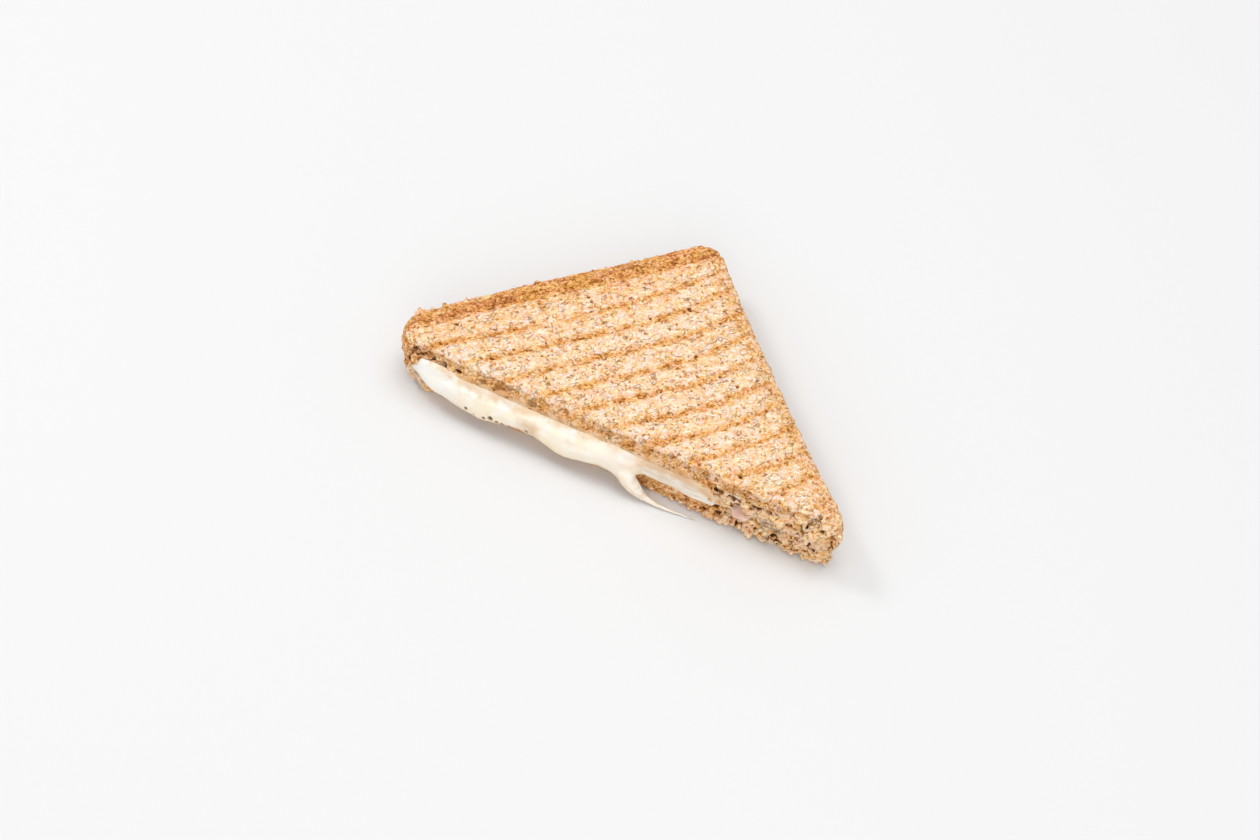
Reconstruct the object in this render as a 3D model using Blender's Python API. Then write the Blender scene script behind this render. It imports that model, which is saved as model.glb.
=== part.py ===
"""Triangle sandwich: half of a grilled toast sandwich, cut corner to corner.

It lies on its bottom slice. The cut faces -Y, the corner of the bread points to +Y, and the long
cut runs along X. Sizes are in millimetres here and become metres as each vertex is placed.
The bread has its own two directions: "down" is the distance from the side that the grill ribs
run along, "along" is the distance from the other side, and both start at the corner.
"""
import math

import bmesh
import bpy
from mathutils import Vector

MM = 0.001

# The slices, as they were before the cut.
SLICE_DOWN = 116.0
SLICE_ALONG = 100.4
CORNER_PEAK = 6.0       # corner radii: at the corner opposite the cut,
CORNER_LEFT = 7.0       # at the left tip,
CORNER_RIGHT = 20.0     # and at the right tip, which was the top of the loaf
SIDE_SWELL = 2.2        # the ribbed side bows outwards by this much half way along
SIDE_SWELL_FADE = 8.0   # and less so this far in
SIDE_SWELL_POWER = 0.6  # below 1 the bow is flatter in the middle and steeper at its ends
PEAK_FLARE = 2.5        # the corner opposite the cut was squeezed outwards
PEAK_FLARE_FADE = 20.0
BASE_SPREAD = (-2.0, 0.2)   # how much each slice stands out at its left and its right tip
TOP_SPREAD = (-1.6, 1.6)
TIP_FADE = 12.0         # the spread of the right tip dies out this far in
TIP_FROM = 84.0         # and starts here, counted down
CRUST_BULGE = 1.1       # a pressed rim bulges between its two edges
CUT_SUM = 110.0         # the knife went where down + along is this much
PEAK_Y = CUT_SUM / math.sqrt(2.0)

# Heights over the table.
TOP_HEIGHT = 19.3
RIM_WIDTH = 6.4         # the slices thin out over this width next to the crust
TOP_DROP = 1.9
BASE_LIFT = 1.3
BASE_CURVE = 1.2        # the base leaves the table at a clear edge, and the top rounds off softly
TOP_CURVE = 2.0
SWELL_HEIGHT = 1.0      # the bread that got no cheese stands a little proud near the right tip
SWELL_AT = (46.0, 4.0)
SWELL_RADIUS = 16.0
PINCH_HEIGHT = 9.4      # where the slices meet at the crust
PRESSED_BY_HAM = 0.7
PRESSED_BY_CHEESE = 2.7
CLEARANCE = 0.3

# Marks of the grill ribs.
RIB_FIRST = 5.4
RIB_PITCH = 8.56
RIB_HALF = 1.7
RIB_FLOOR = 0.6
RIB_DEPTH = 0.4
RIB_COUNT = 12
RIB_BEND = 4.8          # the marks curl towards the peak over the last stretch
RIB_BEND_FROM = 27.5
RIB_BEND_RISE = 20.0    # the curl grows over this much at the first and last marks

# Grid lines of a slice along its marks, as runs of start, end and number of steps. They are close
# together at the crust, where the marks curl, and at the margins of ham and cheese.
BREAD_RUNS = ((RIM_WIDTH, 36.0, 13), (42.0, 84.0, 6), (86.0, 94.0, 4), (96.0, 97.2, 1),
              (98.0, SLICE_ALONG, 3))
RIM_LINES = (0.0, 0.8, 2.2)
BREAD_ROWS = 4          # rows of faces from the lower to the upper side of a slice

# Ham: one thin slice.
HAM_THICK = 1.2
HAM_EDGES = (7.0, 112.0, 11.0, 96.4)     # down from, down to, along from, along to
HAM_CORNER = 9.0
HAM_DOWN_RUNS = ((HAM_EDGES[0], 15.0, 4), (18.0, HAM_EDGES[1], 25))
HAM_ALONG_RUNS = ((HAM_EDGES[2], 36.0, 12), (42.0, 84.0, 6), (86.0, HAM_EDGES[3], 6))
HAM_MARGINS = (6.0, 6.0, 3.0)   # the bread closes over it: at down from, along from, along to

# Cheese: melted, and squeezed out of the cut as a drooping roll with a drip and a string.
CHEESE_THICK = 5.6
CHEESE_LEFT = -60.0
CHEESE_RIGHT = 39.0
CHEESE_PEAK_X = -12.0
CHEESE_DEPTH = 57.0
CHEESE_ROUNDING = 8.0       # how far the corners of its outline are rounded off
CHEESE_PEAK_DROP = 2.0      # and how much the rounding takes off the far corner
CHEESE_ACROSS = 46          # faces of the cheese along the cut, inwards and up
CHEESE_INWARDS = 18
CHEESE_ROWS = 7
CHEESE_END = 0.04           # its ends are blunt, by this share of the rounding
CHEESE_FADES = ((0.5, 12.0), (20.0, 14.0), (98.8, 5.0))     # side and width of each thin margin
ROLL_REACH = 4.5
ROLL_DROOP = 4.2
ROLL_WAVE = 1.2
ROLL_SWING = 0.3        # the wave also moves it in and out a little
ROLL_BLUNTNESS = 0.7    # below 1 its front is blunter than a half circle
ROLL_WAVE_LENGTH = 29.0
ROLL_WAVE_AT = -37.0
ROLL_LEFT = -50.0
ROLL_RIGHT = 11.0
ROLL_END = 15.5
EDGE_REACH = 0.3        # where the cheese hardly left the cut
TONGUE_AT = 10.5        # the roll sags lowest here, and the drip runs on from it
TONGUE_DROOP = 3.0
TONGUE_WIDTH = 4.0
DRIP = (                # x, y, z, radius, down the drip and out along the string on the table
    (9.8, -2.5, 7.6, 2.3),
    (11.6, -3.1, 5.5, 2.8),
    (13.8, -3.6, 3.7, 2.5),
    (16.5, -4.0, 2.1, 1.55),
    (19.2, -4.2, 1.3, 0.95),
    (22.4, -4.3, 0.85, 0.68),
    (26.4, -4.1, 0.62, 0.52),
    (30.4, -3.6, 0.48, 0.4),
    (34.0, -3.2, 0.36, 0.28),
)

FLAT_ANGLE = math.radians(0.2)      # faces that turn by less are joined into one

COLOURS = {             # linear red, green, blue and roughness
    "bread_crumb": ((0.70, 0.45, 0.24), 0.85),
    "melted_cheese": ((0.95, 0.85, 0.62), 0.35),
    "ham": ((0.66, 0.36, 0.26), 0.45),
}


def blend(start, end, share):
    return start + (end - start) * share


def ease(share):
    share = min(1.0, max(0.0, share))
    return share * share * (3.0 - 2.0 * share)


# ---- the shape of the bread, seen from above ----

def from_bread(down, along):
    """Place on the table of a spot given in the bread's own directions."""
    return (down - along) / math.sqrt(2.0), PEAK_Y - (down + along) / math.sqrt(2.0)


def to_bread(x, y):
    return (PEAK_Y + x - y) / math.sqrt(2.0), (PEAK_Y - x - y) / math.sqrt(2.0)


def round_corner(down, along, corner, inward, radius):
    """Pull a square corner's rings in to quarter circles."""
    in_down = radius - (down - corner[0]) * inward[0]
    in_along = radius - (along - corner[1]) * inward[1]
    if in_down <= 0.0 or in_along <= 0.0:
        return down, along
    shrink = max(in_down, in_along) / math.hypot(in_down, in_along)
    return (corner[0] + inward[0] * (radius - in_down * shrink),
            corner[1] + inward[1] * (radius - in_along * shrink))


def slice_outline(down, along, spread):
    """Bend a square grid to the slice: curled rib marks, rounded corners, one bowed side."""
    left_spread, right_spread = spread
    curl = max(0.0, 1.0 - along / RIB_BEND_FROM) ** 2
    curl *= ease(down / RIB_BEND_RISE) * ease((SLICE_DOWN - down) / RIB_BEND_RISE)
    down -= RIB_BEND * curl
    down, along = round_corner(down, along, (0.0, 0.0), (1, 1), CORNER_PEAK)
    down, along = round_corner(down, along, (0.0, SLICE_ALONG), (1, -1), CORNER_LEFT)
    down, along = round_corner(down, along, (SLICE_DOWN, 0.0), (-1, 1), CORNER_RIGHT)
    bow = max(0.0, math.sin(math.pi * along / SLICE_ALONG)) ** SIDE_SWELL_POWER
    bow *= SIDE_SWELL * math.exp(-down / SIDE_SWELL_FADE)
    flare = PEAK_FLARE * math.exp(-(down + along) / PEAK_FLARE_FADE)
    tip = right_spread * math.exp(-along / TIP_FADE)
    tip *= ease((down - TIP_FROM) / (CUT_SUM - TIP_FROM))
    left = left_spread * (along / SLICE_ALONG) ** 2
    return down - bow - flare, along - flare - tip + left


def rim(down, along):
    """1 at the crust and 0 inside the rim; on the ribbed side the rim ends at the first mark."""
    inside = min(down / (RIB_FIRST + RIB_HALF), along / RIM_WIDTH, (SLICE_ALONG - along) / RIM_WIDTH)
    return max(0.0, 1.0 - inside)


# ---- heights: from the table up through base, bread, ham, cheese, bread ----

def cheese_edge(x):
    """How far in from the cut the cheese reaches."""
    left = x - CHEESE_PEAK_X + CHEESE_DEPTH
    right = CHEESE_PEAK_X - x + CHEESE_DEPTH
    roof = min(left, right) - CHEESE_PEAK_DROP * math.exp(-abs(left - right) / CHEESE_ROUNDING)
    from_end = min(1.0, (x - CHEESE_LEFT) / CHEESE_ROUNDING, (CHEESE_RIGHT - x) / CHEESE_ROUNDING)
    return roof * math.sqrt(1.0 - (1.0 - max(CHEESE_END, from_end)) ** 2)


def cheese_cover(x, y):
    """0 away from the cheese, 1 where it is at its full thickness."""
    down, along = to_bread(x, y)
    (down_from, down_width), (along_from, along_width), (along_to, far_width) = CHEESE_FADES
    return (ease((down - down_from) / down_width) * ease((along - along_from) / along_width)
            * ease((along_to - along) / far_width))


def ham_cover(x, y):
    down, along = to_bread(x, y)
    down_margin, along_margin, far_margin = HAM_MARGINS
    return (ease((down - HAM_EDGES[0]) / down_margin + 1.0)
            * ease((along - HAM_EDGES[2]) / along_margin + 1.0)
            * ease((HAM_EDGES[3] - along) / far_margin + 1.0))


def bed_height(x, y):
    """Upper face of the bottom slice."""
    return PINCH_HEIGHT - PRESSED_BY_HAM * ham_cover(x, y) - PRESSED_BY_CHEESE * cheese_cover(x, y)


def ham_base(x, y):
    return bed_height(x, y) + CLEARANCE * ham_cover(x, y)


def ham_top(x, y):
    return ham_base(x, y) + HAM_THICK * ham_cover(x, y)


def cheese_base(x, y):
    return ham_top(x, y) + CLEARANCE


def roof_height(x, y):
    """Lower face of the top slice."""
    return ham_top(x, y) + CLEARANCE + (CHEESE_THICK + CLEARANCE) * cheese_cover(x, y)


def cheese_top(x, y):
    return roof_height(x, y) - CLEARANCE


def rib_groove(down):
    """Depth of the grill's mark, 1 at a rib and 0 between two."""
    nearest = RIB_FIRST + RIB_PITCH * round((down - RIB_FIRST) / RIB_PITCH)
    return 1.0 - min(1.0, max(0.0, abs(down - nearest) - RIB_FLOOR) / (RIB_HALF - RIB_FLOOR))


def swell(x, y):
    away = math.hypot(x - SWELL_AT[0], y - SWELL_AT[1]) / SWELL_RADIUS
    return SWELL_HEIGHT * math.exp(-away * away)


# ---- making solids ----

def clear_scene():
    for item in list(bpy.data.objects):
        bpy.data.objects.remove(item, do_unlink=True)


def material(name):
    colour, roughness = COLOURS[name]
    made = bpy.data.materials.new(name)
    made.use_nodes = True
    shader = made.node_tree.nodes["Principled BSDF"]
    shader.inputs["Base Color"].default_value = (*colour, 1.0)
    shader.inputs["Roughness"].default_value = roughness
    shader.inputs["Metallic"].default_value = 0.0
    made.diffuse_color = (*colour, 1.0)
    return made


def block(first_lines, second_lines, wall_rows):
    """A slab of unit height with a vertex column wherever two grid lines cross."""
    bm = bmesh.new()
    first, second = len(first_lines) - 1, len(second_lines) - 1
    bmesh.ops.create_grid(bm, x_segments=first, y_segments=second, size=1.0)
    for vert in bm.verts:
        vert.co.x = first_lines[round((vert.co.x + 1.0) * 0.5 * first)]
        vert.co.y = second_lines[round((vert.co.y + 1.0) * 0.5 * second)]
    raised = bmesh.ops.extrude_face_region(bm, geom=bm.faces[:])["geom"]
    bmesh.ops.translate(bm, vec=(0.0, 0.0, 1.0),
                        verts=[item for item in raised if isinstance(item, bmesh.types.BMVert)])
    uprights = [edge for edge in bm.edges if abs(edge.verts[0].co.z - edge.verts[1].co.z) > 0.5]
    bmesh.ops.subdivide_edges(bm, edges=uprights, cuts=wall_rows - 1, use_grid_fill=True)
    return bm


def add_object(name, bm, material_name, collection):
    """Merge doubles, join faces that lie in one plane, and make the object."""
    bmesh.ops.remove_doubles(bm, verts=bm.verts[:], dist=0.00001)
    bmesh.ops.recalc_face_normals(bm, faces=bm.faces[:])
    bmesh.ops.dissolve_limit(bm, angle_limit=FLAT_ANGLE, verts=bm.verts[:], edges=bm.edges[:])
    mesh = bpy.data.meshes.new(name)
    bm.to_mesh(mesh)
    bm.free()
    mesh.materials.append(MATERIALS[material_name])
    made = bpy.data.objects.new(name, mesh)
    collection.objects.link(made)
    return made


def cut_at_knife(bm):
    """Take away what lies beyond the knife's cut and close the cut face."""
    geometry = bm.verts[:] + bm.edges[:] + bm.faces[:]
    bmesh.ops.bisect_plane(bm, geom=geometry, dist=0.000001, plane_co=(0.0, 0.0, 0.0),
                           plane_no=(0.0, -1.0, 0.0), clear_outer=True)
    open_edges = [edge for edge in bm.edges if edge.is_boundary]
    bmesh.ops.holes_fill(bm, edges=open_edges, sides=0)


def steps(start, end, count):
    return [blend(start, end, index / count) for index in range(count + 1)]


def lines(runs):
    return [line for run in runs for line in steps(*run)]


def slice_lines():
    """Grid lines of a slice: close together at the crust and at each rib mark."""
    down = list(RIM_LINES)
    for index in range(RIB_COUNT):
        centre = RIB_FIRST + RIB_PITCH * index
        down += [centre - RIB_HALF, centre - RIB_FLOOR, centre + RIB_FLOOR, centre + RIB_HALF]
        down += [centre + RIB_PITCH / 2.0]
    down += steps(SLICE_DOWN - CORNER_RIGHT / 2.0, SLICE_DOWN, 2)
    return down, [*RIM_LINES, (RIM_LINES[-1] + RIM_WIDTH) / 2.0, *lines(BREAD_RUNS)]


def bread_slice(name, lower, upper, spread, collection):
    """One slice between two height functions, spread by so much at its left and right tips."""
    bm = block(*slice_lines(), wall_rows=BREAD_ROWS)
    for vert in bm.verts:
        down, along, share = vert.co
        mark, edge = rib_groove(down), rim(down, along)
        if 0.01 < share < 0.99:
            bulge = CRUST_BULGE * math.sin(math.pi * share)
            down -= bulge if down < 0.01 else 0.0
            along -= bulge if along < 0.01 else 0.0
            along += bulge if along > SLICE_ALONG - 0.01 else 0.0
        x, y = from_bread(*slice_outline(down, along, spread))
        z = blend(lower(x, y, mark, edge), upper(x, y, mark, edge), share)
        vert.co = Vector((x, y, z)) * MM
    cut_at_knife(bm)
    return add_object(name, bm, "bread_crumb", collection)


def bottom_slice(collection):
    return bread_slice(
        "bread_bottom",
        lambda x, y, mark, edge: BASE_LIFT * edge ** BASE_CURVE + RIB_DEPTH * mark,
        lambda x, y, mark, edge: bed_height(x, y),
        BASE_SPREAD, collection)


def top_slice(collection):
    return bread_slice(
        "bread_top",
        lambda x, y, mark, edge: roof_height(x, y),
        lambda x, y, mark, edge: (TOP_HEIGHT + swell(x, y) - TOP_DROP * edge ** TOP_CURVE
                                  - RIB_DEPTH * mark),
        TOP_SPREAD, collection)


def ham(collection):
    down_from, _, along_from, _ = HAM_EDGES
    bm = block(lines(HAM_DOWN_RUNS), lines(HAM_ALONG_RUNS), wall_rows=1)
    for vert in bm.verts:
        down, along, share = vert.co
        down, along = round_corner(down, along, (down_from, along_from), (1, 1), HAM_CORNER)
        x, y = from_bread(down, along)
        vert.co = Vector((x, y, blend(ham_base(x, y), ham_top(x, y), share))) * MM
    cut_at_knife(bm)
    return add_object("ham", bm, "ham", collection)


def roll_profile(x, share):
    """How far the squeezed-out roll reaches and droops, share being 0 at its foot and 1 on top."""
    presence = (ease((x - CHEESE_LEFT) / (ROLL_LEFT - CHEESE_LEFT))
                * ease((ROLL_END - x) / (ROLL_END - ROLL_RIGHT)))
    wave = math.cos(2.0 * math.pi * (x - ROLL_WAVE_AT) / ROLL_WAVE_LENGTH)
    tongue = TONGUE_DROOP * math.exp(-((x - TONGUE_AT) / TONGUE_WIDTH) ** 2)
    belly = math.cos(math.pi * (share - 0.5))
    reach = blend(EDGE_REACH, ROLL_REACH + ROLL_SWING * wave, presence)
    reach *= belly ** ROLL_BLUNTNESS
    return reach, (ROLL_DROOP + ROLL_WAVE * wave + tongue) * presence * belly


def cheese(collection, cutters):
    across = steps(CHEESE_LEFT, CHEESE_RIGHT, CHEESE_ACROSS)
    inwards = [0.0, 0.03] + steps(0.1, 1.0, CHEESE_INWARDS)
    bm = block(across, inwards, wall_rows=CHEESE_ROWS)
    for vert in bm.verts:
        x, inward, share = vert.co
        y = inward * cheese_edge(x)
        z = blend(cheese_base(x, y), cheese_top(x, y), share)
        if inward < 0.01:
            reach, droop = roll_profile(x, share)
            y -= reach
            middle = blend(cheese_base(x, 0.0), cheese_top(x, 0.0), 0.5)
            half = middle - cheese_base(x, 0.0)
            z = middle - half * math.cos(math.pi * share) - droop
        vert.co = Vector((x, y, z)) * MM
    body = add_object("cheese", bm, "melted_cheese", collection)

    curve = bpy.data.curves.new("cheese_drip", "CURVE")
    curve.dimensions = "3D"
    curve.bevel_depth = MM
    curve.bevel_resolution = 2
    curve.use_fill_caps = True
    spline = curve.splines.new("POLY")
    route = smooth_route(DRIP, 3)
    spline.points.add(len(route) - 1)
    for point, (x, y, z, radius) in zip(spline.points, route):
        point.co = (x * MM, y * MM, z * MM, 1.0)
        point.radius = radius
    tube = bpy.data.objects.new("cheese_drip", curve)
    cutters.objects.link(tube)
    bpy.context.view_layer.update()
    evaluated = tube.evaluated_get(bpy.context.evaluated_depsgraph_get())
    mesh = bpy.data.meshes.new_from_object(evaluated)
    bm = bmesh.new()
    bm.from_mesh(mesh)
    bmesh.ops.remove_doubles(bm, verts=bm.verts[:], dist=0.00001)
    bmesh.ops.recalc_face_normals(bm, faces=bm.faces[:])
    bm.to_mesh(mesh)
    bm.free()
    drip = bpy.data.objects.new("cheese_drip_solid", mesh)
    drip.matrix_world = tube.matrix_world
    bpy.data.objects.remove(tube, do_unlink=True)
    cutters.objects.link(drip)
    drip.display_type = "WIRE"
    drip.hide_render = True
    join = body.modifiers.new("drip", "BOOLEAN")
    join.operation = "UNION"
    join.solver = "EXACT"
    join.object = drip
    return body


def smooth_route(points, steps):
    """Points on a smooth curve through the given ones."""
    route = []
    last = len(points) - 1
    for index in range(last):
        near = [points[max(0, index - 1)], points[index], points[index + 1], points[min(last, index + 2)]]
        for step in range(steps):
            share = step / steps
            weights = (
                -0.5 * share + share ** 2 - 0.5 * share ** 3,
                1.0 - 2.5 * share ** 2 + 1.5 * share ** 3,
                0.5 * share + 2.0 * share ** 2 - 1.5 * share ** 3,
                -0.5 * share ** 2 + 0.5 * share ** 3,
            )
            route.append(tuple(sum(w * p[k] for w, p in zip(weights, near)) for k in range(4)))
    return route + [points[-1]]


def centre_on_table(pieces, holder):
    """Move the whole so that the origin is at the middle of its foot print, at table height."""
    bpy.context.view_layer.update()
    graph = bpy.context.evaluated_depsgraph_get()
    corners = []
    for piece in pieces:
        shaped = piece.evaluated_get(graph)
        corners += [piece.matrix_world @ vert.co for vert in shaped.to_mesh().vertices]
        shaped.to_mesh_clear()
    middle = [(min(c[axis] for c in corners) + max(c[axis] for c in corners)) / 2.0 for axis in range(2)]
    base = min(corner.z for corner in corners)
    for piece in pieces:
        piece.parent = holder
    holder.location = (-middle[0], -middle[1], -base)
    bpy.context.view_layer.update()


clear_scene()
MATERIALS = {name: material(name) for name in COLOURS}
SANDWICH = bpy.data.collections.new("triangle_sandwich")
CUTTERS = bpy.data.collections.new("cutters")
bpy.context.scene.collection.children.link(SANDWICH)
bpy.context.scene.collection.children.link(CUTTERS)
HOLDER = bpy.data.objects.new("sandwich_origin", None)
SANDWICH.objects.link(HOLDER)
PIECES = [bottom_slice(SANDWICH), ham(SANDWICH), cheese(SANDWICH, CUTTERS), top_slice(SANDWICH)]
for helper in CUTTERS.objects:
    helper.parent = HOLDER
centre_on_table(PIECES, HOLDER)
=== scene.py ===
"""Looks of the triangle sandwich: torn wholemeal toast, ham and melted cheese on a pale table."""
import math
import random

import bmesh
import bpy
import numpy as np
from mathutils import Matrix, Vector, noise


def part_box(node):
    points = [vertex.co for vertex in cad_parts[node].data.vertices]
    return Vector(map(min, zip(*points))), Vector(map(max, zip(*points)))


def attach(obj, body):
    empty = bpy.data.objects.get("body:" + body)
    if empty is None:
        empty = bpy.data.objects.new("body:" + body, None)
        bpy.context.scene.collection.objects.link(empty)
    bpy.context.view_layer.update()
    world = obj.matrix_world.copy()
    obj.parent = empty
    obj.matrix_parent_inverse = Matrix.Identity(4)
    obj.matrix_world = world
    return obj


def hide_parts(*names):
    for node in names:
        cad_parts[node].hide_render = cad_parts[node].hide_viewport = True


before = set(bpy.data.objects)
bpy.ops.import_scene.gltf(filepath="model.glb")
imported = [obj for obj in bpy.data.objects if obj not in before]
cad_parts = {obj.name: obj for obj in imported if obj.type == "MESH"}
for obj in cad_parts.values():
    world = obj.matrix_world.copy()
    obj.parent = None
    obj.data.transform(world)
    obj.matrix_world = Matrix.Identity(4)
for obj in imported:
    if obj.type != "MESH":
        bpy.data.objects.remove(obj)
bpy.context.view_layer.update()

# ---- The camera ----
# It stands above the cut, a little to the right, rolled a few degrees, and aims at a spot on the
# top slice. Places are measured from the foot: the spot on the cut nearest the corner opposite it.

MM = 0.001
PEAK_Y = 110.0 / math.sqrt(2.0)         # from the foot to where the two crust sides would meet
HAM_INSET = 11.0                        # from the right crust side to the ham
CUT_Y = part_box("bread_top")[0].y / MM
FOOT_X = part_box("ham")[1].x / MM - (PEAK_Y - HAM_INSET * math.sqrt(2.0))
TOP_Z = 19.3                            # the pressed top face over the table
AIM = Vector((FOOT_X + 6.7, CUT_Y + 6.7, TOP_Z)) * MM
AZIMUTH, ELEVATION, ROLL = math.radians(21.2), math.radians(54.3), math.radians(6.1)
DISTANCE = 513.7 * MM
LENS = 51.4

camera = bpy.data.objects.new("camera", bpy.data.cameras.new("camera"))
camera.data.lens = LENS
camera.data.clip_start = 0.01
back = Vector((math.sin(AZIMUTH) * math.cos(ELEVATION), -math.cos(AZIMUTH) * math.cos(ELEVATION),
               math.sin(ELEVATION)))
turn = (-back).to_track_quat("-Z", "Y").to_matrix() @ Matrix.Rotation(ROLL, 3, "Z")
camera.matrix_world = Matrix.LocRotScale(AIM + back * DISTANCE, turn.to_quaternion(), None)
bpy.context.scene.collection.objects.link(camera)
bpy.context.scene.camera = camera

# ---- Light and table ----
# A wide white table under a white sky, with a softbox overhead, another in front, and a small
# key lamp beyond the left tip that throws the soft shadows.

def area_lamp(name, azimuth, elevation, distance, size, power):
    lamp = bpy.data.objects.new(name, bpy.data.lights.new(name, "AREA"))
    lamp.data.size = size
    lamp.data.energy = power
    a, e = math.radians(azimuth), math.radians(elevation)
    towards = Vector((math.sin(a) * math.cos(e), -math.cos(a) * math.cos(e), math.sin(e)))
    lamp.location = towards * distance
    lamp.rotation_mode = "QUATERNION"
    lamp.rotation_quaternion = (-towards).to_track_quat("-Z", "Y")
    bpy.context.scene.collection.objects.link(lamp)


area_lamp("key_lamp", -101.0, 46.0, 1.6, 0.35, 5.6)
area_lamp("overhead_softbox", 165.0, 78.0, 1.5, 1.1, 10.0)
area_lamp("front_softbox", 20.0, 35.0, 1.8, 1.2, 8.6)

sky = bpy.data.worlds.new("studio")
sky.use_nodes = True
glow = sky.node_tree.nodes["Background"]
glow.inputs["Color"].default_value = (1.0, 1.0, 1.0, 1.0)
glow.inputs["Strength"].default_value = 0.62
bpy.context.scene.world = sky
bpy.context.scene.view_settings.view_transform = "Standard"


class Signal:
    """One socket of a material, on which Python arithmetic adds Math nodes."""

    def __init__(self, finish, socket):
        self.finish, self.socket = finish, socket

    def math(self, operation, *others):
        return self.finish.node("ShaderNodeMath", {"operation": operation}, [self, *others])

    def __add__(self, other):
        return self.math("ADD", other)

    def __sub__(self, other):
        return self.math("SUBTRACT", other)

    def __rsub__(self, other):
        return self.finish.node("ShaderNodeMath", {"operation": "SUBTRACT"}, [other, self])

    def __mul__(self, other):
        return self.math("MULTIPLY", other)

    def __truediv__(self, other):
        return self.math("DIVIDE", other)

    __radd__, __rmul__ = __add__, __mul__

    def fade(self, start, end, low=0.0, high=1.0):
        """Smoothly from low, where the signal is at start, to high, where it is at end."""
        return self.finish.node("ShaderNodeMapRange", {"interpolation_type": "SMOOTHSTEP"},
                                [self, start, end, low, high])

    def within(self, rise, fall):
        """A band: fading in over the two values of rise and out over the two of fall."""
        return self.fade(*rise) * self.fade(fall[1], fall[0])

    def axis(self, index):
        """One coordinate of a place: 0, 1 or 2 for x, y or z."""
        return self.finish.node("ShaderNodeSeparateXYZ", {}, [self], index)


class Finish:
    """A material: its Principled shader, and one method that adds the nodes feeding it."""

    def __init__(self, name, **constants):
        self.material = bpy.data.materials.new(name)
        self.material.use_nodes = True
        self.tree = self.material.node_tree
        self.shader = self.tree.nodes["Principled BSDF"]
        for socket, value in constants.items():
            self.shader.inputs[socket.replace("_", " ")].default_value = value

    def node(self, kind, settings, inputs, output=0):
        made = self.tree.nodes.new(kind)
        for key, value in settings.items():
            if key == "stops":
                stops = made.color_ramp.elements
                for spare in range(len(value) - 2):
                    stops.new(0.5)
                for stop, (position, colour) in zip(stops, value):
                    stop.position, stop.color = position, (*colour, 1.0)
            else:
                setattr(made, key, value)
        for key, value in inputs.items() if isinstance(inputs, dict) else enumerate(inputs):
            if isinstance(value, Signal):
                self.tree.links.new(value.socket, made.inputs[key])
            else:
                made.inputs[key].default_value = value
        return Signal(self, made.outputs[output])

    def feed(self, socket, signal):
        self.tree.links.new(signal.socket, self.shader.inputs[socket])

    def place(self, rotation=0.0, origin=(0.0, 0.0)):
        """Object coordinates in millimetres, from an origin in them, turned about the vertical."""
        turned = Matrix.Rotation(rotation, 3, "Z") @ Vector((*origin, 0.0))
        where = self.node("ShaderNodeTexCoord", {}, {}, "Object")
        return self.node("ShaderNodeMapping", {}, {
            "Vector": where, "Location": -turned, "Rotation": (0.0, 0.0, rotation),
            "Scale": (1.0 / MM, 1.0 / MM, 1.0 / MM)})

    def noise(self, vector, size, detail=3.0, roughness=0.55, distortion=0.0):
        """Cloudy noise between 0 and 1, with lumps of a size in millimetres."""
        return self.node("ShaderNodeTexNoise", {}, {
            "Vector": vector, "Scale": 1.0 / size, "Detail": detail, "Roughness": roughness,
            "Distortion": distortion})

    def cells(self, vector, spacing, output="Distance"):
        """Distance in cells to the nearest of many scattered points, or that cell's own colour."""
        return self.node("ShaderNodeTexVoronoi", {}, {
            "Vector": vector, "Scale": 1.0 / spacing}, output)

    def stretch(self, vector, amounts):
        """The same places scaled along each axis; below 1 draws a pattern out along it."""
        return self.node("ShaderNodeVectorMath", {"operation": "MULTIPLY"}, [vector, amounts])

    def warp(self, vector, size, reach):
        """The same places, each moved about by up to so many millimetres."""
        drift = self.node("ShaderNodeTexNoise", {}, {"Vector": vector, "Scale": 1.0 / size}, "Color")
        drift = self.node("ShaderNodeVectorMath", {"operation": "MULTIPLY_ADD"}, [
            drift, (2.0 * reach,) * 3, (-reach,) * 3])
        return self.node("ShaderNodeVectorMath", {"operation": "ADD"}, [vector, drift])

    def layer(self, name):
        """A value that the mesh carries at its points."""
        return self.node("ShaderNodeAttribute", {"attribute_name": name}, {}, "Fac")

    def ramp(self, signal, stops):
        return self.node("ShaderNodeValToRGB", {"stops": stops}, [signal])

    def mix(self, factor, first, second, kind="MIX"):
        first, second = ((*colour, 1.0) if isinstance(colour, tuple) else colour
                         for colour in (first, second))
        return self.node("ShaderNodeMix", {"data_type": "RGBA", "blend_type": kind},
                         {0: factor, 6: first, 7: second}, 2)

    def bump(self, height, strength, distance):
        """Relief finer than the mesh; the distance is in millimetres."""
        self.feed("Normal", self.node("ShaderNodeBump", {}, {
            "Height": height, "Strength": strength, "Distance": distance * MM}))


TABLE_REACH = 3.0                       # metres from the middle to each edge

table_finish = Finish("white_table", Roughness=0.6)
table_finish.shader.inputs["Base Color"].default_value = (0.72, 0.72, 0.72, 1.0)
bm = bmesh.new()
bmesh.ops.create_grid(bm, x_segments=1, y_segments=1, size=TABLE_REACH)
table_mesh = bpy.data.meshes.new("table")
bm.to_mesh(table_mesh)
bm.free()
table_mesh.materials.append(table_finish.material)
table = bpy.data.objects.new("table", table_mesh)
bpy.context.scene.collection.objects.link(table)

# ---- The two slices ----
# Wholemeal toast, pressed between the ribbed plates of a grill: dry and porous outside, torn where
# the knife dragged at its tips. Each slice is the CAD slice remeshed finely, with caves cut out and
# crumb lumps grown on, and its skin then moved in and out by pores, folds and creases.

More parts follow.
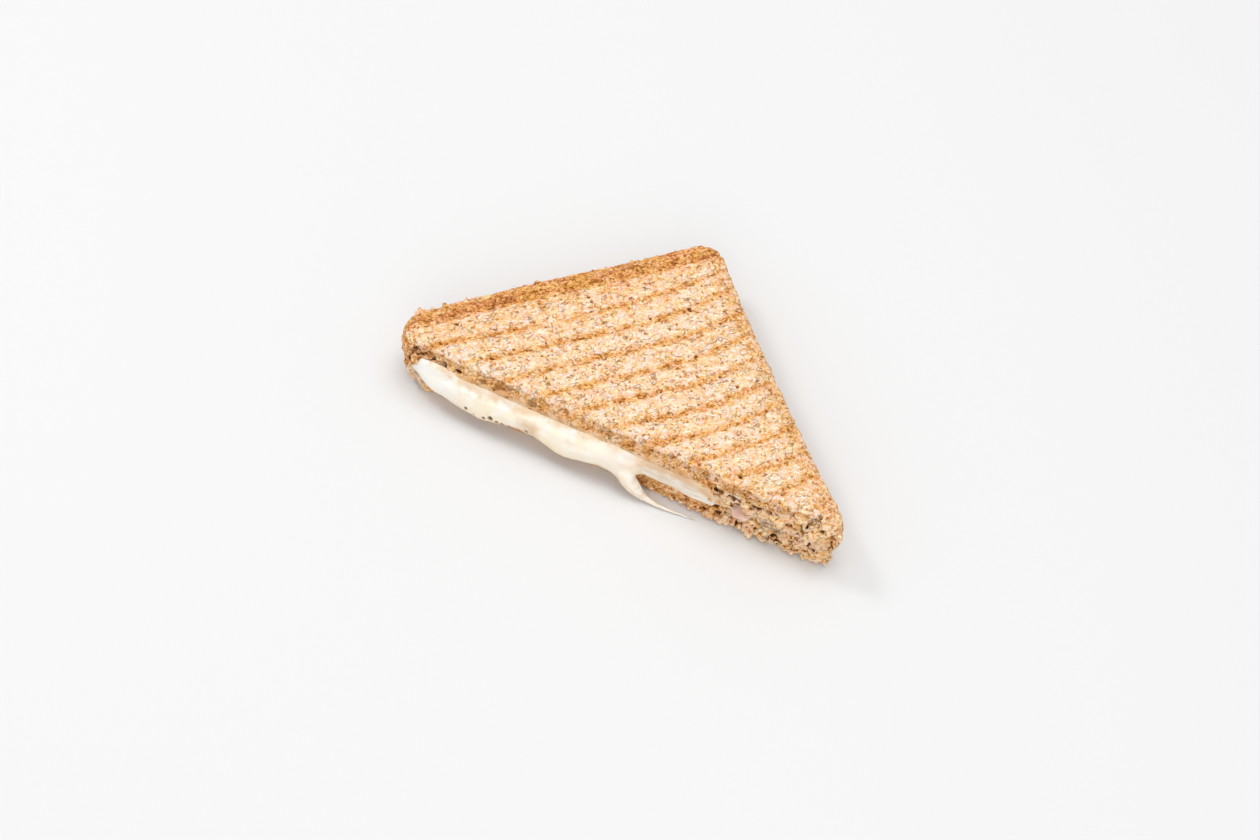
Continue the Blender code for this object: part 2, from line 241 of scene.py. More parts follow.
SLICE_ALONG = 98.6                      # from the right crust side to the end of the left tip
SLICE_VOXEL = 0.375                     # spacing of the points of the fine mesh
SLICE_KEPT = 0.72                       # share of the faces left after thinning out the buried ones
SKIN_Z = 16.9                           # the cut shows crumb up to here and toasted skin above
TABLE_GAP = 0.02                        # what keeps the lowest crumbs off the table
FOOT = Vector((FOOT_X, CUT_Y, 0.0))
noise.seed_set(1)                       # left alone, noise_vector starts from the clock


def ease(share):
    share = min(1.0, max(0.0, share))
    return share * share * (3.0 - 2.0 * share)


def between(value, start, end, soft):
    """1 from start to end, fading to 0 over the soft width outside."""
    return ease((value - start) / soft + 1.0) * ease((end - value) / soft + 1.0)


def from_bread(down, along):
    """From the distances to the left and the right crust side to x and y from the foot."""
    return (down - along) / math.sqrt(2.0), PEAK_Y - (down + along) / math.sqrt(2.0)


def to_bread(x, y):
    """From x and y back to the distances to the left and the right crust side."""
    return (PEAK_Y + x - y) / math.sqrt(2.0), (PEAK_Y - x - y) / math.sqrt(2.0)


def add_balls(bm, balls):
    """Longish lumps lying any way, given as x, y, z and radius from the foot of the cut."""
    for x, y, z, radius in balls:
        spot = Matrix.Translation(Vector((FOOT_X + x, CUT_Y + y, z)) * MM)
        spot = spot @ Matrix.Rotation(x * 7.0, 4, "Z") @ Matrix.Rotation(z * 5.0, 4, "X")
        spot = spot @ Matrix.Diagonal((1.4, 1.0, 0.7, 1.0))
        bmesh.ops.create_icosphere(bm, subdivisions=1, radius=radius * MM, matrix=spot)


def even_mesh(bm, name, voxel):
    """An object whose skin wraps everything in the bmesh in one even, closed mesh."""
    mesh = bpy.data.meshes.new(name)
    bm.to_mesh(mesh)
    bm.free()
    made = bpy.data.objects.new(name, mesh)
    bpy.context.scene.collection.objects.link(made)
    remesh = made.modifiers.new("even", "REMESH")
    remesh.mode = "VOXEL"
    remesh.voxel_size = voxel * MM
    apply_modifiers(made)
    return made


def fine_copy(node, name, voxel, lumps=(), caves=()):
    """The CAD solid again as one even mesh, hollowed by round caves and fused with round lumps."""
    bm = bmesh.new()
    bm.from_mesh(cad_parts[node].data)
    bmesh.ops.remove_doubles(bm, verts=bm.verts[:], dist=0.000001)
    if caves:
        solid = bpy.data.objects.new(name + "_solid", bpy.data.meshes.new(name))
        bm.to_mesh(solid.data)
        bm.free()
        bpy.context.scene.collection.objects.link(solid)
        bm = bmesh.new()
        add_balls(bm, caves)
        void = even_mesh(bm, name + "_caves", voxel)
        hollow_out = solid.modifiers.new("caves", "BOOLEAN")
        hollow_out.operation = "DIFFERENCE"
        hollow_out.object = void
        apply_modifiers(solid)
        bm = bmesh.new()
        bm.from_mesh(solid.data)
        bpy.data.objects.remove(solid)
        bpy.data.objects.remove(void)
    add_balls(bm, lumps)
    return even_mesh(bm, name, voxel)


def apply_modifiers(piece):
    evaluated = piece.evaluated_get(bpy.context.evaluated_depsgraph_get())
    piece.data = bpy.data.meshes.new_from_object(evaluated)
    piece.modifiers.clear()


def thin_out(piece, buried, share):
    """Fewer, larger faces around the points that other pieces hide."""
    piece.vertex_groups.new(name="buried").add(buried, 1.0, "REPLACE")
    thin = piece.modifiers.new("thin_out_buried", "DECIMATE")
    thin.ratio = share
    thin.vertex_group = "buried"
    apply_modifiers(piece)
    piece.vertex_groups.clear()


def dress(piece, finish):
    piece.data.materials.clear()
    piece.data.materials.append(finish.material)
    piece.data.shade_smooth()


def smoothed(mesh, rounds):
    """The places of a mesh's points after evening them out, and before, as arrays."""
    count = len(mesh.vertices)
    places = np.empty(count * 3)
    mesh.vertices.foreach_get("co", places)
    places = places.reshape(-1, 3)
    ends = np.empty(len(mesh.edges) * 2, dtype=np.int32)
    mesh.edges.foreach_get("vertices", ends)
    first, second = ends.reshape(-1, 2).T
    near = np.bincount(ends, minlength=count)[:, None]
    smooth = places
    for step in range(rounds):
        total = np.stack([np.bincount(first, smooth[second, axis], count)
                          + np.bincount(second, smooth[first, axis], count) for axis in range(3)], 1)
        smooth = 0.4 * smooth + 0.6 * total / near
    return smooth, places


def hollowness(mesh, rounds):
    """How far each point lies under its smoothed surroundings, in millimetres."""
    smooth, places = smoothed(mesh, rounds)
    normals = np.empty(len(mesh.vertices) * 3)
    mesh.vertex_normals.foreach_get("vector", normals)
    return ((smooth - places) * normals.reshape(-1, 3)).sum(axis=1) / MM


def carry(mesh, name, values):
    """Writes one value for each point into the mesh, for its material to read."""
    mesh.attributes.new(name, "FLOAT", "POINT").data.foreach_set("value", values)


def pore(place, spacing, kept, radius):
    """Depth of the pore that a point lies in, 0 between pores. Each cell has one or none."""
    distances, seeds = noise.voronoi(place / spacing)
    luck = noise.cell(seeds[0] * 37.0) * 0.5 + 0.5
    if luck > kept:
        return 0.0
    size = radius * (0.5 + 0.5 * luck / kept)
    return math.sqrt(max(0.0, size * size - (distances[0] * spacing) ** 2))


def clumps(place, size):
    """1 on the rounded clumps of torn crumb, falling to 0 in the crevices between them."""
    distances, seeds = noise.voronoi(place / size)
    return ease((distances[1] - distances[0]) / 0.5)


def toasted_relief(place, rough):
    """Height of the pressed and toasted face over the smooth slice, in millimetres."""
    warped = place + noise.noise_vector(place / 1.3) * 0.6
    lumps = 0.20 * noise.noise(place / 7.0) + 0.17 * noise.noise(place / 2.4)
    grain = 0.20 * noise.noise(place / 1.1) + 0.13 * noise.noise(place / 0.6)
    crease = max(0.0, 0.12 - abs(noise.noise(warped / 2.1))) * ease(noise.noise(place / 3.1) * 3.0)
    small = pore(warped, 2.3, 0.5, 0.54)
    large = pore(warped + Vector((31.0, 7.0, 3.0)), 5.5, 0.35, 0.95)
    return lumps + grain * (1.0 + 1.2 * rough) - 3.0 * crease - 0.8 * small - 0.7 * large


def torn_relief(place, tear):
    """The same for the cut face; tear is 0 where the knife went clean and 1 where it dragged."""
    warped = place + noise.noise_vector(place / 2.1) * (0.8 + 0.6 * tear)
    folds = 0.25 * noise.noise(place / 3.1) + 0.34 * noise.noise(warped / 1.5)
    coarse = 1.3 * noise.noise(place / 4.2) + 0.8 * (clumps(warped, 3.6) - 0.6)
    crumbs = 0.36 * noise.noise(warped / 0.9) + 0.14 * noise.noise(place / 0.5)
    hole = pore(warped + Vector((3.0, 11.0, 5.0)), 2.2, 0.5, 0.8)
    return folds + crumbs * (0.6 + 0.3 * tear) + coarse * tear - 0.7 * hole


def tear_at(x):
    """1 at both torn tips of the cut and 0 between them."""
    return max(between(x, 39.0, 90.0, 7.0), between(x, -90.0, -56.0, 6.0))


def greased(x, z):
    """1 where the cut face over the squeezed-out cheese is smeared smooth."""
    return between(x, -42.0, 30.0, 5.0) * between(z, 13.0, 15.8, 1.2)


def knife_drag(x, y, z):
    """How far back the edge of the top slice leans over the filling, less where the ham shows."""
    ragged = noise.noise(Vector((x / 4.5, 0.0, z / 9.0)))
    ragged += 0.5 * noise.noise(Vector((x / 1.7, 9.0, z / 3.0)))
    lean = (1.9 + 0.8 * ragged) * ease((z - 13.0) / 6.0) * (1.0 - 0.6 * between(x, 40.0, 57.0, 5.0))
    return lean * max(0.0, 1.0 - y / 9.0) ** 2


def toast_slice(node, name, outward, seed, lumps, caves):
    """One slice; outward is +1 where its toasted face looks up and -1 where it looks down."""
    piece = fine_copy(node, name, SLICE_VOXEL, lumps, caves)
    mesh = piece.data
    normals = [Vector(normal.vector) for normal in mesh.vertex_normals]
    buried, cuts, crusts = [], [], []
    for vert, normal in zip(mesh.vertices, normals):
        spot = vert.co / MM - FOOT
        down, along = to_bread(spot.x, spot.y)
        edge = min(down + 1.0, along, SLICE_ALONG - along)
        facing = normal.z * outward
        cut = ease((1.5 - spot.y) / 1.5)
        if outward > 0.0:
            brim = SKIN_Z + 0.8 * noise.noise(Vector((spot.x / 2.6, 5.0, 0.0)))
            brim += 2.4 * between(spot.x, 62.0, 90.0, 4.0) - 2.2 * between(spot.x, 40.0, 55.0, 4.0)
            cut *= ease((brim - spot.z) / 0.9)
        crust = ease((3.0 - edge) / 3.0) * ease(1.2 - abs(normal.z)) * (1.0 - cut)
        cuts.append(cut * ease(1.3 - facing))
        crusts.append(crust)
        if facing < -0.5 and edge > 3.5 and spot.y > 3.0:
            buried.append(vert.index)
            continue
        place = spot + Vector((0.0, 0.0, seed))
        tear = tear_at(spot.x)
        rise = toasted_relief(place, max(crust, tear * ease(1.0 - spot.y / 7.0)))
        if cut > 0.0:
            inner = torn_relief(place, tear) * (1.0 - 0.8 * greased(spot.x, spot.z))
            rise += (inner - rise) * cut
        if facing < -0.5:
            rise += 0.25
        if outward > 0.0 and along < 6.0:
            rise += 0.4 * crust
        move = normal * rise
        if outward > 0.0 and spot.y < 9.0:
            move.y += knife_drag(spot.x, spot.y, spot.z)
            pressed = 1.1 + 0.8 * noise.noise(Vector((spot.x / 5.0, 0.0, 2.0)))
            move.z -= pressed * max(0.0, 1.0 - spot.y / 5.0) ** 2 * ease((spot.z - 14.5) / 4.5)
        vert.co += move * MM
        vert.co.z = max(vert.co.z, TABLE_GAP * MM)
    mesh.update()
    carry(mesh, "cut", cuts)
    carry(mesh, "crust", crusts)
    # How deep each point lies under its near and its wide surroundings, which the material turns into
    # painted shade and a painted highlight.
    carry(mesh, "hollow", hollowness(mesh, 9))
    carry(mesh, "deep", hollowness(mesh, 45))
    thin_out(piece, buried, SLICE_KEPT)
    dress(piece, bread_finish)
    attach(piece, "root")
    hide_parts(node)


RIB_FIRST, RIB_PITCH = 5.4, 8.56        # of the grill's marks, from the left crust side
RIB_BEND, BEND_REACH = 4.8, 27.5        # how far they curl near the right crust side
TOASTING = (                            # from untouched flour to charred crust
    (0.0, (0.97, 0.84, 0.74)), (0.28, (0.88, 0.65, 0.455)), (0.5, (0.84, 0.47, 0.20)),
    (0.68, (0.68, 0.31, 0.095)), (0.86, (0.46, 0.17, 0.04)), (1.0, (0.28, 0.09, 0.02)))
PINKISH, YELLOWISH = (1.0, 0.95, 1.0), (1.0, 1.0, 0.84)     # tints laid over the toasting
RIB_CORE = (1.0, 0.92, 0.68)
EDGE_YELLOW, EDGE_RED = (1.0, 1.0, 0.82), (1.0, 0.90, 0.98)
TORN_WARMTH = (1.0, 0.935, 0.81)
SMEARED, SMEARED_DARK = (0.84, 0.60, 0.38), (0.70, 0.40, 0.19)
CHEESE_FILM = (0.84, 0.70, 0.54)
BRAN = (0.33, 0.11, 0.01)
# the colour of the painted shade in pits
PAINTED_PORE_SHADE = (0.15, 0.045, 0.004)
SCORCHED = (0.22, 0.08, 0.015)
FAT_SOAKED = (0.44, 0.35, 0.23)
# the colour of the painted shade in deep crevices
PAINTED_CREVICE_SHADE = (0.085, 0.024, 0.001)

bread_finish = Finish("toasted_bread", Roughness=0.85)
bread_finish.shader.inputs["Specular IOR Level"].default_value = 0.2
place = bread_finish.place(math.radians(45.0), (FOOT_X, CUT_Y + PEAK_Y))
down, along, height = place.axis(0), 0.0 - place.axis(1), place.axis(2)
cut, crust, hollow, deep = (bread_finish.layer(key) for key in ("cut", "crust", "hollow", "deep"))

# Browning, 0 on untouched crumb and 1 where the plate's ribs and the rims touched longest.
curl = (1.0 - along / BEND_REACH).math("MAXIMUM", 0.0)
sway = bread_finish.noise(place, 11.0, 2.0) - 0.5
# The plate's ribs didn't land quite straight: later at the right tip, sooner at the peak.
astray = (down.fade(62.0, 92.0) * along.fade(24.0, 8.0) * 1.6
          + down.fade(32.0, 14.0) * along.within((24.0, 42.0), (62.0, 74.0)) * 1.1
          - down.fade(36.0, 46.0) * along.fade(26.0, 38.0) * 0.5
          - (down + along).fade(32.0, 12.0) * 1.7 - along.fade(78.0, 88.0) * 0.6)
rib = down + curl * curl * RIB_BEND * down.fade(0.0, 20.0) + sway * 2.4 - astray
beat = ((rib - RIB_FIRST) / RIB_PITCH + 0.5).math("FRACT") - 0.5
mark = (beat.math("ABSOLUTE") * RIB_PITCH).fade(2.7, 0.5) * 0.75
patch = bread_finish.noise(place, 5.0, 3.0).fade(0.36, 0.62, 0.6, 1.0)
strayed = bread_finish.noise(place, 2.8, 2.0)
core = (beat * RIB_PITCH + (strayed - 0.5) * 3.0).math("ABSOLUTE").fade(0.75, 0.15)
core = core * strayed.fade(0.36, 0.5) * down.fade(8.0, 12.0) * patch
edge = down.fade(6.6, 3.2) * down.fade(-1.5, 2.0, 0.7, 1.0) * (patch * 0.8 + 0.85)
edge = edge.math("MAXIMUM", down.fade(15.0, 7.0) * 0.35)
side = along.fade(7.0, 2.0) * 0.6
across = (down - along) / math.sqrt(2.0)
from_cut = PEAK_Y - (down + along) / math.sqrt(2.0)
brim = from_cut.fade(3.2, 0.6) * height.fade(14.6, 15.6) * patch
browning = mark * patch + core * 0.34
for hotter in (edge, side, crust * 1.2, brim):
    browning = browning.math("MAXIMUM", hotter)
browning = browning * (1.0 - cut) + cut * (1.0 - across.fade(36.0, 42.0) * 0.95)

# The crumb itself: pale flour, tan granules, bran, creases and pores, with painted shade in its hollows
# and a painted highlight on its proud crumbs.
loose = bread_finish.warp(bread_finish.stretch(place, (1.0, 0.62, 1.0)), 1.6, 0.7)
streaks = bread_finish.noise(bread_finish.stretch(place, (1.0, 0.2, 1.0)), 1.8, 3.0) - 0.5
granule = bread_finish.noise(loose, 1.5, 3.0, 0.65)
fine = bread_finish.noise(loose, 0.48, 2.0, 0.65)
cloud = bread_finish.noise(place, 5.0, 2.0)
# The hollow term is painted light: darker where a point lies under its surroundings, lighter, up to a
# limit, where it stands proud.
heat = (0.31 + browning * 0.28 + (granule - 0.5) * (1.0 - cut * 0.1) + (fine - 0.5) * 1.45
        + (cloud - 0.5) * 0.35 + hollow.math("MAXIMUM", -0.12) * 1.1
        + streaks * down.fade(8.0, 3.0) * 0.6)
crumb = bread_finish.ramp(heat, TOASTING)
tint = bread_finish.noise(place, 2.8, 2.0).fade(0.4, 0.6)
crumb = bread_finish.mix(0.85, crumb, bread_finish.mix(tint, PINKISH, YELLOWISH), "MULTIPLY")
crumb = bread_finish.mix(core * (1.0 - cut) * 0.7, crumb, RIB_CORE, "MULTIPLY")
crumb = bread_finish.mix(down.fade(8.0, 4.0) * 0.9, crumb, bread_finish.mix(
    (streaks + 0.5).fade(0.4, 0.6), EDGE_YELLOW, EDGE_RED), "MULTIPLY")
# Cheese and fat smeared over the lower part of the cut face.
smear = (height + cloud * 3.0).fade(17.4, 16.2) * across.within((-46.0, -38.0), (27.0, 34.0))
smear = smear * cut * height.fade(12.0, 13.0) * granule.fade(0.7, 0.5)
crumb = bread_finish.mix(smear * 0.8, crumb, bread_finish.mix(
    cloud.fade(0.4, 0.6), SMEARED, SMEARED_DARK))
filmed = across.fade(-56.0, -60.0) * cut * height.fade(10.5, 8.0) * cloud.fade(0.3, 0.55, 0.3, 0.9)
crumb = bread_finish.mix(filmed, crumb, CHEESE_FILM)
# Bran, and painted shade in the creases, then what lies deep: painted shade in pores, scorched rims,
# soaked crumb and painted shade in crevices.
# Painted shade: thin dark lines along the bumped creases, drawn in the bran colour.
crease = (bread_finish.noise(loose, 1.7, 1.0) - 0.5).math("ABSOLUTE").fade(0.035, 0.008)
crease = crease * bread_finish.noise(place, 2.3, 1.0).fade(0.5, 0.58)
bran = bread_finish.cells(loose, 1.8).fade(0.26, 0.13)
bran = bran * bread_finish.node("ShaderNodeSeparateColor", {}, [
    bread_finish.cells(loose, 1.8, "Color")]).fade(0.6, 0.7)
crumb = bread_finish.mix((bran * 0.85).math("MAXIMUM", crease * 0.55), crumb, BRAN)
crumb = bread_finish.mix(cut * across.fade(32.0, 38.0), crumb, TORN_WARMTH, "MULTIPLY")
# Painted shade in the pits: the deeper a point lies under its near surroundings, the darker brown.
crumb = bread_finish.mix((hollow - cut * 0.08).fade(0.08, 0.36, 0.0, 0.95), crumb, PAINTED_PORE_SHADE)
scorch = from_cut.fade(2.6, 0.8) * height.fade(14.4, 15.2) * across.fade(30.0, 10.0)
scorch = scorch * bread_finish.noise(loose, 2.6, 3.0).fade(0.53, 0.62)
crumb = bread_finish.mix(scorch * 0.8, crumb, SCORCHED)
soaked = across.within((49.0, 52.5), (57.0, 60.5)) * height.within((6.3, 7.8), (10.0, 12.2))
soaked = soaked * cut * bread_finish.noise(place, 2.6, 2.0).fade(0.36, 0.56)
crumb = bread_finish.mix(soaked * 0.85, crumb, FAT_SOAKED)
# Painted shade in the deepest crevices, from how far a point lies under its wide surroundings.
crumb = bread_finish.mix(deep.fade(0.3, 0.75, 0.0, 0.94), crumb, PAINTED_CREVICE_SHADE)
bread_finish.feed("Base Color", crumb)
relief = (granule * 0.9 + fine * 0.8) * (1.0 - cut * 0.4) - bran * 0.6 - crease * 0.7
bread_finish.bump(relief, 0.8, 0.7)


def balls(seed, count, across, depth, heights, radii):
    """Round lumps or caves scattered in a box along the cut, each range given as low and high."""
    dice = random.Random(seed)
    return [(dice.uniform(*across), dice.uniform(*depth), dice.uniform(*heights),
             dice.uniform(*radii)) for step in range(count)]


def crust_lumps(seed, count, heights):
    """Small crumbs on the crust of the long ribbed side, out to the peak."""
    dice = random.Random(seed)
    lumps = []
    for step in range(count):
        along = dice.uniform(0.0, 94.0)
        down = -2.2 * max(0.0, math.sin(math.pi * along / SLICE_ALONG)) ** 0.6
        down += dice.uniform(-0.7, 0.5) - 1.6 * math.exp(-along / 18.0)
        lumps.append((*from_bread(down, along), dice.uniform(*heights), dice.uniform(0.35, 0.8)))
    return lumps


def ham_shows(ball):
    """Whether a lump would cover the ham where the torn crumb leaves it in the open."""
    x, y, z, radius = ball
    return 3.0 < z < 10.0 and 43.0 < x < 50.0


def burrow(path):
    """A cave with a wider chamber behind it for each x, y, z and radius along a crevice."""
    return [ball for x, y, z, radius in path
            for ball in ((x, y, z, radius), (x + 0.5, y + 0.2, z + 0.4, radius * 0.8),
                         (x + 0.3, y + 1.5, z - 0.5, radius * 1.3))]


low_lumps = balls(3, 70, (36.0, 69.0), (-0.2, 0.5), (2.4, 9.4), (0.5, 1.2))
low_lumps += balls(13, 170, (2.0, 69.0), (-0.5, 0.3), (0.6, 2.6), (0.3, 0.6))
low_lumps += balls(23, 110, (30.0, 67.0), (-1.0, -0.2), (0.6, 1.8), (0.4, 0.62))
high_lumps = balls(4, 110, (36.0, 69.0), (-0.3, 0.8), (9.0, 13.0), (0.6, 1.3))
high_lumps += balls(14, 110, (-60.0, 66.0), (-0.1, 0.8), (15.5, 18.6), (0.3, 0.6))
low_caves = balls(7, 60, (38.0, 69.0), (-0.4, 0.8), (2.0, 8.6), (0.5, 1.1))
low_caves += balls(17, 40, (4.0, 38.0), (-0.3, 0.4), (2.0, 5.6), (0.3, 0.6))
low_caves += balls(27, 26, (46.0, 62.0), (-0.3, 0.3), (2.2, 3.4), (0.6, 0.9))
high_caves = burrow((           # under the skin at the left tip, then down along its crust
    (-46.2, 0.2, 15.6, 1.1), (-48.4, 0.4, 16.0, 0.7), (-51.2, 0.2, 15.8, 1.5), (-54.6, 0.3, 16.1, 1.3),
    (-57.8, 0.3, 16.3, 1.4), (-60.4, 0.3, 17.2, 1.3), (-62.0, 0.2, 15.2, 1.1), (-62.8, 0.2, 12.8, 1.0)))
high_caves += burrow((          # under the skin over the ham
    (36.8, 0.1, 13.8, 0.9), (38.8, 0.0, 13.6, 1.2), (41.0, 0.0, 13.5, 1.2), (43.3, 0.0, 13.5, 1.3),
    (45.2, 0.2, 13.1, 0.8), (47.6, 0.0, 13.5, 1.0), (49.4, 0.0, 13.7, 1.2), (51.0, 0.2, 14.2, 0.9),
    (53.4, 0.0, 14.4, 1.2), (56.0, 0.3, 14.6, 0.8), (59.2, -0.2, 11.5, 1.1)))
high_caves += burrow((          # the crevice that parts the torn right tip
    (67.6, 0.8, 18.6, 0.9), (66.6, 0.5, 17.8, 1.1), (65.6, 0.3, 16.4, 1.1), (65.0, 0.1, 14.6, 1.0),
    (64.6, 0.0, 12.4, 1.2), (69.4, 0.3, 15.2, 0.9)))
low_caves += burrow(((64.8, 0.0, 8.6, 1.0), (65.6, 0.0, 6.6, 1.2), (68.6, 0.0, 4.6, 0.9)))
high_caves += balls(28, 34, (-44.0, -12.0), (0.6, 1.8), (16.0, 17.8), (0.5, 1.0))
high_caves += balls(19, 30, (38.0, 69.0), (-0.3, 0.8), (10.0, 17.5), (0.4, 0.8))
high_caves += balls(20, 40, (-12.0, 36.0), (0.6, 1.4), (16.0, 18.0), (0.4, 0.8))

toast_slice("bread_bottom", "bottom_slice", -1.0, 0.0,
            [ball for ball in low_lumps if not ham_shows(ball)] + crust_lumps(5, 90, (2.0, 8.5)),
            low_caves)
toast_slice("bread_top", "top_slice", 1.0, 40.0,
            [ball for ball in high_lumps if not ham_shows(ball)] + crust_lumps(6, 200, (11.0, 18.2)),
            high_caves)

# ---- Cheese ----
# Two thin slices melted into one pad, squeezed out of the cut as a roll with a drip and a string.
# It set to a smooth satin skin with a few burst bubbles along its lower side.

FILLING_VOXEL = 0.42                    # spacing of the points of the fine meshes
FILLING_SHOWN = 5.0                     # how far in from the cut anything of the filling shows
CHEESE_KEPT = 0.45                      # share of the faces left after thinning out
BUBBLES = (                             # x, z and radius of the burst bubbles on the roll
    (-40.8, 6.9, 0.8), (-38.0, 6.0, 0.4), (-34.8, 6.3, 0.8), (-32.7, 7.0, 1.1), (-30.6, 6.4, 1.0),
    (-28.8, 6.3, 1.0), (-26.6, 6.4, 0.8), (-25.0, 6.8, 0.6), (-21.0, 7.6, 0.9), (-14.0, 5.6, 0.4))
MILK_WHITE, CREAM = (0.92, 0.895, 0.83), (0.94, 0.84, 0.68)
# the colour of the painted shade on the roll's underside
PAINTED_SHADE_CREAM = (0.86, 0.67, 0.42)
WHEY_STAIN = (0.84, 0.66, 0.43)
# the colour of the painted sheen on the left part of the roll
PAINTED_SHEEN_WHITE = (0.89, 0.88, 0.84)
GRILLED_SMUDGE = (0.60, 0.35, 0.15)
HAM_TINT = (0.86, 0.70, 0.60)
DRAWN_PALE, DRAWN_DARK = (0.90, 0.85, 0.78), (0.76, 0.62, 0.48)
CRUMBED, CRUMBED_DARK = (0.84, 0.60, 0.38), (0.76, 0.47, 0.26)
SEAM_TAN = (0.80, 0.60, 0.40)
BURST = (0.22, 0.10, 0.035)

cheese = fine_copy("cheese", "melted_cheese", FILLING_VOXEL)
mesh = cheese.data
evened = smoothed(mesh, 7)[0]
normals = [Vector(normal.vector) for normal in mesh.vertex_normals]
bubbly, lower, buried = [], [], []
for vert, normal, even in zip(mesh.vertices, normals, evened):
    spot = vert.co / MM - FOOT
    bubbly.append(0.0)
    # How much a point faces down, which the material turns into painted shade.
    lower.append(ease(0.65 - 0.9 * normal.z))
    if spot.y > FILLING_SHOWN:
        buried.append(vert.index)
        continue
    thick = ease((spot.z - 1.0) / 2.0)
    vert.co = vert.co.lerp(Vector(even), 0.3 + 0.6 * thick)
    rise = 0.35 * noise.noise(spot / 9.0) + 0.16 * noise.noise(spot / 3.6)
    rise += 0.05 * noise.noise(Vector((spot.x / 2.5, spot.y / 1.2, spot.z / 1.2)))
    for x, z, radius in BUBBLES:
        away = math.hypot(spot.x - x, spot.z - z) / radius
        if away < 1.6 and spot.y < 0.0:
            rise -= 0.9 * radius * ease(1.0 - away) - 0.12 * ease(1.0 - abs(away - 1.15) / 0.45)
            bubbly[-1] = max(bubbly[-1], ease(1.15 - away))
    vert.co += normal * (rise * thick * MM)
    # Right of the drip the strip hangs down over the ham. On the left its top sticks to the bread.
    far = ease((spot.x - 20.0) / 16.0)
    drape = ease((1.6 - spot.y) / 1.2) * ease((9.6 + 1.2 * far - spot.z) / 1.5)
    drape *= between(spot.x, 15.0, 37.0, 2.0) * ease((spot.z - 5.0) / 2.0)
    vert.co += Vector((0.0, -0.5 * drape, -(0.9 + 1.6 * far) * drape)) * MM
    stuck = ease((1.5 - spot.y) / 1.0) * ease((spot.z - 11.8) / 1.4)
    stuck *= between(spot.x, -56.0, 36.0, 2.0)
    vert.co.z += (0.55 + 1.2 * between(spot.x, -58.0, -49.0, 4.0)) * stuck * MM
    vert.co.x -= 2.0 * between(spot.x, -62.0, -54.0, 6.0) * ease(1.0 - spot.y / 3.0) * MM
    vert.co.z = max(vert.co.z, TABLE_GAP * MM)
mesh.update()
carry(mesh, "bubble", bubbly)
carry(mesh, "lower", lower)
thin_out(cheese, buried, CHEESE_KEPT)

cheese_finish = Finish("melted_cheese", Roughness=0.3)
cheese_finish.shader.inputs["Subsurface Weight"].default_value = 0.4
cheese_finish.shader.inputs["Subsurface Radius"].default_value = (1.0, 0.8, 0.55)
cheese_finish.shader.inputs["Subsurface Scale"].default_value = 0.0012
place = cheese_finish.place(0.0, (FOOT_X, CUT_Y))
across, height = place.axis(0), place.axis(2)
cloud = cheese_finish.noise(place, 6.0, 3.0)
milky = cheese_finish.mix(cloud.fade(0.35, 0.65), MILK_WHITE, CREAM)
# Painted shade: the downward-facing underside of the roll turns creamy yellow.
milky = cheese_finish.mix(cheese_finish.layer("lower") * (0.65 + cloud * 0.8), milky, PAINTED_SHADE_CREAM)
stain = cheese_finish.noise(place, 4.0, 2.0).fade(0.54, 0.70) * across.fade(8.0, -10.0)
milky = cheese_finish.mix(stain * 0.45, milky, WHEY_STAIN)
# Painted sheen: the left part of the roll is whiter and cooler.
milky = cheese_finish.mix(across.fade(-36.0, -54.0, 0.0, 0.75), milky, PAINTED_SHEEN_WHITE)
smudge = across.within((-25.5, -22.5), (-19.5, -16.0)) * height.within((6.2, 8.4), (9.6, 12.0))
milky = cheese_finish.mix(smudge * cloud.fade(0.3, 0.6, 0.25, 0.6), milky, GRILLED_SMUDGE)
tongue = across.within((1.0, 6.0), (12.0, 15.0)) * cloud.fade(0.35, 0.6, 0.15, 0.5)
milky = cheese_finish.mix(tongue, milky, HAM_TINT)
# The flat strip right of the drip is paler and drawn out along the cut.
drawn = cheese_finish.noise(cheese_finish.stretch(place, (0.12, 1.0, 1.0)), 0.9, 2.0)
milky = cheese_finish.mix(across.fade(13.0, 17.0) * 0.85, milky, cheese_finish.mix(
    drawn.fade(0.38, 0.62), DRAWN_PALE, DRAWN_DARK))
# Crumb and fat smeared over its upper half where it hardly left the cut.
wavy = height + (cheese_finish.noise(place, 3.0, 2.0) - 0.5) * 3.0
smear = (wavy + across.fade(26.0, 38.0) * 1.6).fade(10.2, 12.2) * across.fade(11.5, 15.5)
milky = cheese_finish.mix(smear * 0.9, milky, cheese_finish.mix(
    cloud.fade(0.4, 0.6), CRUMBED, CRUMBED_DARK))
seam = wavy - across.fade(-20.0, 5.0) * 0.6 + across.within((-50.0, -40.0), (-28.0, -20.0)) * 0.7
seam = seam - across.fade(-46.0, -54.0) * 2.0
seam = seam.fade(12.0, 13.6) * across.fade(15.5, 11.5)
milky = cheese_finish.mix(seam * cloud.fade(0.3, 0.6, 0.3, 0.95), milky, SEAM_TAN)
burst = cheese_finish.layer("bubble").fade(0.1, 0.8, 0.0, 0.95)
milky = cheese_finish.mix(burst, milky, BURST)
cheese_finish.feed("Base Color", milky)
cheese_finish.bump(cheese_finish.noise(place, 2.2, 3.0), 0.12, 0.4)
dress(cheese, cheese_finish)
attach(cheese, "root")
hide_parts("cheese")

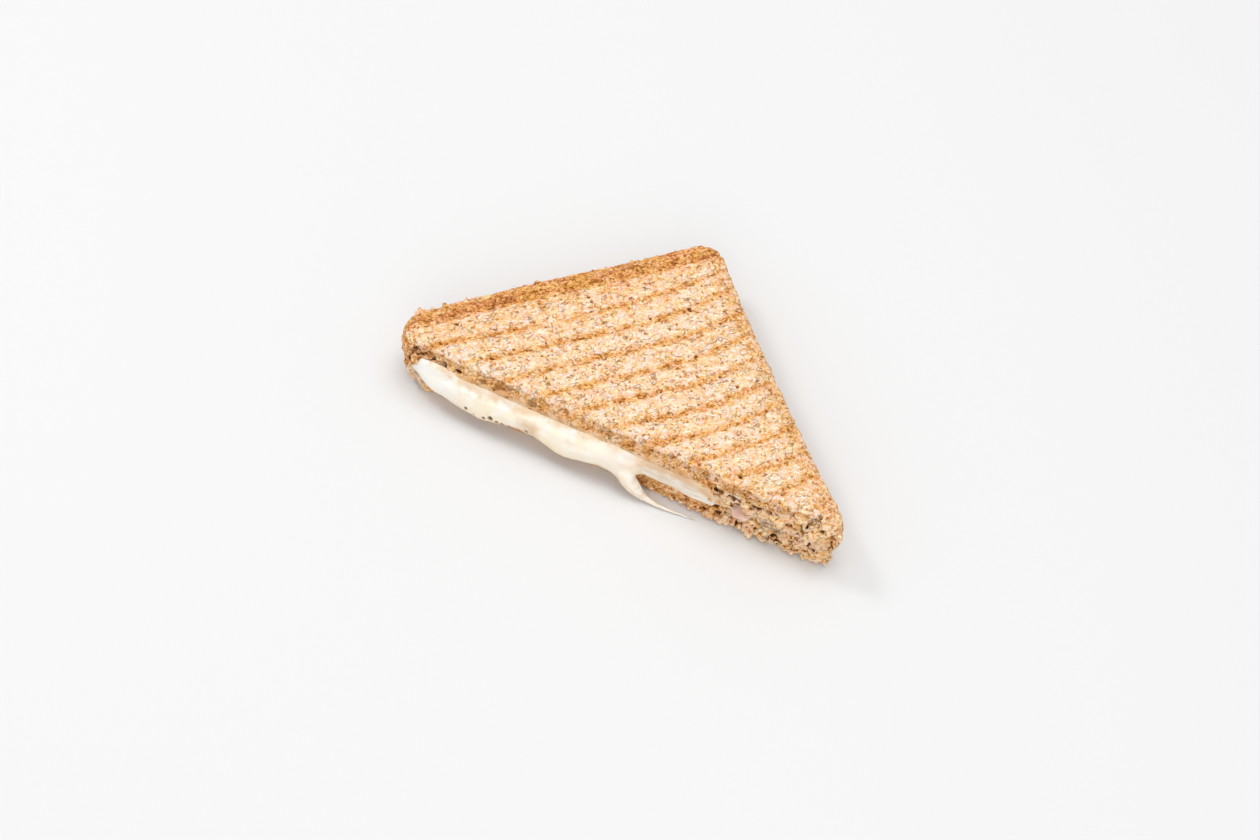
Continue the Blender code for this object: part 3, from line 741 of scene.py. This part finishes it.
# ---- Ham ----
# One thin slice of cooked ham, moist and pink, laid on the bottom bread under the cheese. Its edge
# follows the cut and hangs out of the torn crumb as a small flap where the cheese ends.

HAM_KEPT = 0.3                          # share of the faces left after thinning out
HAM_PALE, HAM_PINK = (0.82, 0.60, 0.48), (0.74, 0.46, 0.35)
HAM_FAT = (0.80, 0.60, 0.46)

ham = fine_copy("ham", "ham_slice", FILLING_VOXEL)
mesh = ham.data
buried = []
for vert in mesh.vertices:
    spot = vert.co / MM - FOOT
    if spot.y > FILLING_SHOWN:
        buried.append(vert.index)
        continue
    proud = 0.25 + 0.5 * noise.noise(Vector((spot.x / 5.0, 3.0, 0.0)))
    flap = between(spot.x, 44.3, 47.7, 1.6) * ease(1.0 - spot.y / 3.0)
    proud += 0.5 * between(spot.x, -66.0, -61.0, 2.0) - 0.5 * between(spot.x, 50.5, 90.0, 1.5)
    vert.co.y -= (max(0.0, proud) * ease(1.0 - spot.y / 4.0) + 1.4 * flap) * MM
    vert.co.z -= flap * (2.2 - vert.normal.z) * MM
    vert.co.z += 0.12 * noise.noise(Vector((spot.x / 2.2, spot.y / 2.0, 0.0))) * MM
mesh.update()
thin_out(ham, buried, HAM_KEPT)

ham_finish = Finish("cooked_ham", Roughness=0.4)
ham_finish.shader.inputs["Subsurface Weight"].default_value = 0.25
ham_finish.shader.inputs["Subsurface Radius"].default_value = (1.0, 0.5, 0.4)
ham_finish.shader.inputs["Subsurface Scale"].default_value = 0.0015
place = ham_finish.place(0.0, (FOOT_X, CUT_Y))
fibre = ham_finish.noise(place, 1.6, 4.0, 0.6, 0.8)
pink = ham_finish.mix(fibre.fade(0.35, 0.65), HAM_PALE, HAM_PINK)
fatty = ham_finish.noise(place, 4.0, 2.0).fade(0.6, 0.7, 0.0, 0.6)
pink = ham_finish.mix(fatty, pink, HAM_FAT)
ham_finish.feed("Base Color", pink)
ham_finish.bump(fibre, 0.3, 0.4)
dress(ham, ham_finish)
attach(ham, "root")
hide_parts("ham")
